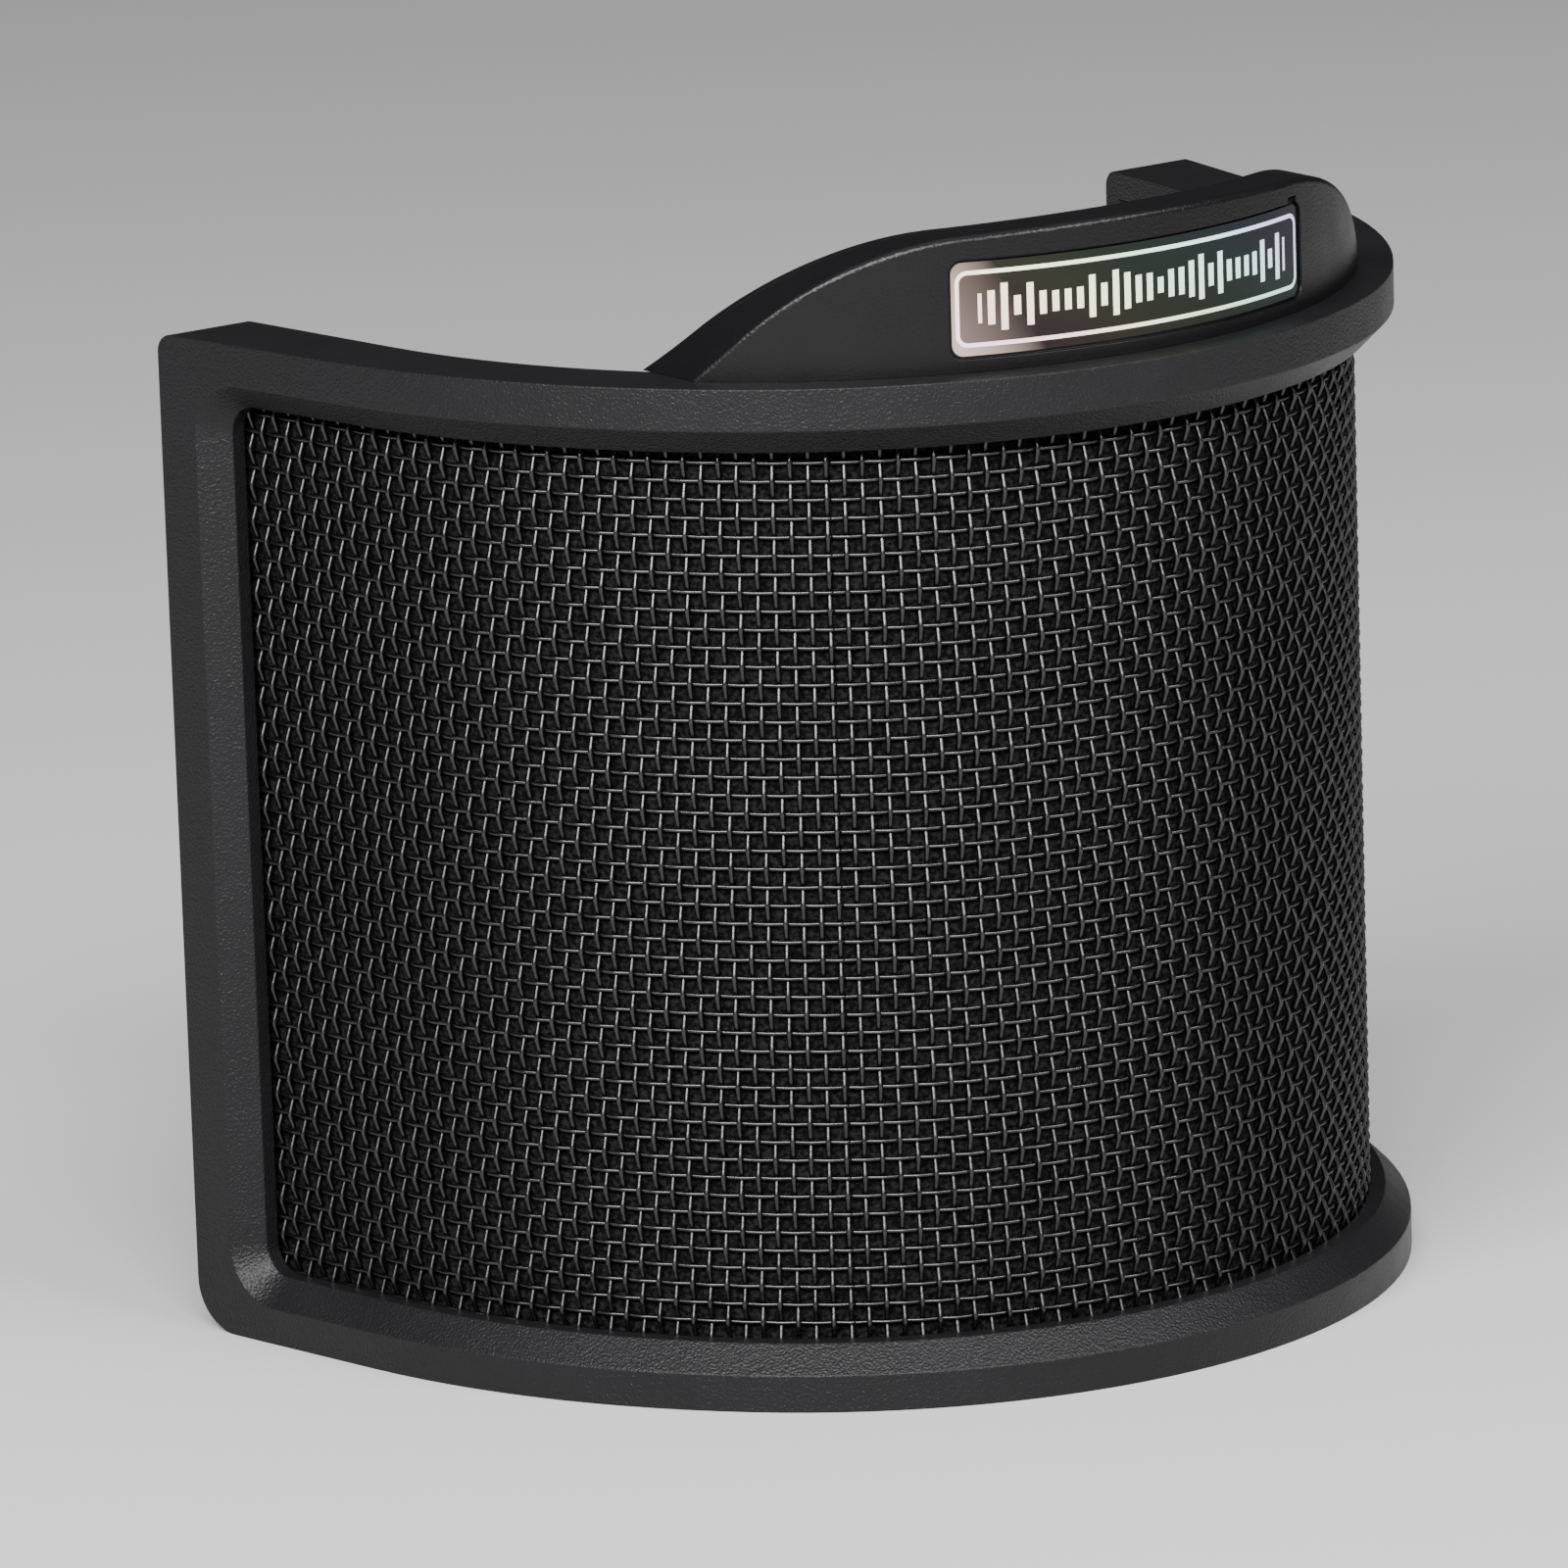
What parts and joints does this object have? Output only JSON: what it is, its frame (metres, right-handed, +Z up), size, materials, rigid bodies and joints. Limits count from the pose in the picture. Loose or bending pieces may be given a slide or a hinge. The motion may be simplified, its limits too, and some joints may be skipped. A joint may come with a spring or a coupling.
{
  "type": "pop filter",
  "caption": "U-shaped clip-on pop filter: wire mesh and foam shield in a moulded frame, with a crescent housing on top carrying spring-closed microphone jaws.",
  "frame": {"origin": "on the resting plane, under the centre of the bounding box", "axes": "+X to the right along the shield's longest extent, +Y from the side spoken into towards the microphone, +Z up"},
  "size_m": [0.1498, 0.0934, 0.1339],
  "materials": {
    "frame_plastic": "fine moulded grain",
    "housing_plastic": "fine moulded grain",
    "inner_plastic": "natural acetal",
    "jaw_plastic": "fine moulded grain",
    "mesh_wire": "woven wire",
    "foam": "open-cell foam",
    "screen_cloth": "fine woven cloth",
    "screw_steel": "blackened",
    "rail_steel": "drawn strip",
    "spring_steel": "spring wire",
    "label_film": "dark holographic film",
    "pad_rubber": "soft matte rubber"
  },
  "bodies": {
    "shield": {"front_frame": "frame_plastic", "wire_mesh": "mesh_wire", "foam_layer": "foam", "rear_screen": "screen_cloth", "rear_ring": "frame_plastic", "ring_screws": "screw_steel", "clip_housing": "housing_plastic", "housing_cover": "housing_plastic", "cover_screws": "screw_steel", "housing_screws": "screw_steel", "label_plate": "label_film", "centre_block": "inner_plastic", "right_slide_rail": "rail_steel", "left_slide_rail": "rail_steel", "right_spring": "spring_steel", "left_spring": "spring_steel"},
    "right_jaw": {"right_jaw_slider": "inner_plastic", "right_jaw_arm": "jaw_plastic", "right_jaw_pad": "pad_rubber", "right_jaw_screw": "screw_steel"},
    "left_jaw": {"left_jaw_slider": "inner_plastic", "left_jaw_arm": "jaw_plastic", "left_jaw_pad": "pad_rubber", "left_jaw_screw": "screw_steel"}
  },
  "joints": [
    {"name": "right_jaw_swing", "type": "hinge", "parent": "shield", "child": "right_jaw", "pos_m": [0, 0.0192, 0.122], "axis": [0, 0, 1], "range_deg": [0, 20], "stiffness_Nm_per_rad": 0.25, "springref_deg": -6.88, "deforming": ["right_spring"]},
    {"name": "left_jaw_swing", "type": "hinge", "parent": "shield", "child": "left_jaw", "pos_m": [0, 0.0192, 0.122], "axis": [0, 0, -1], "range_deg": [0, 20], "stiffness_Nm_per_rad": 0.25, "springref_deg": -6.88, "deforming": ["left_spring"]}
  ]
}
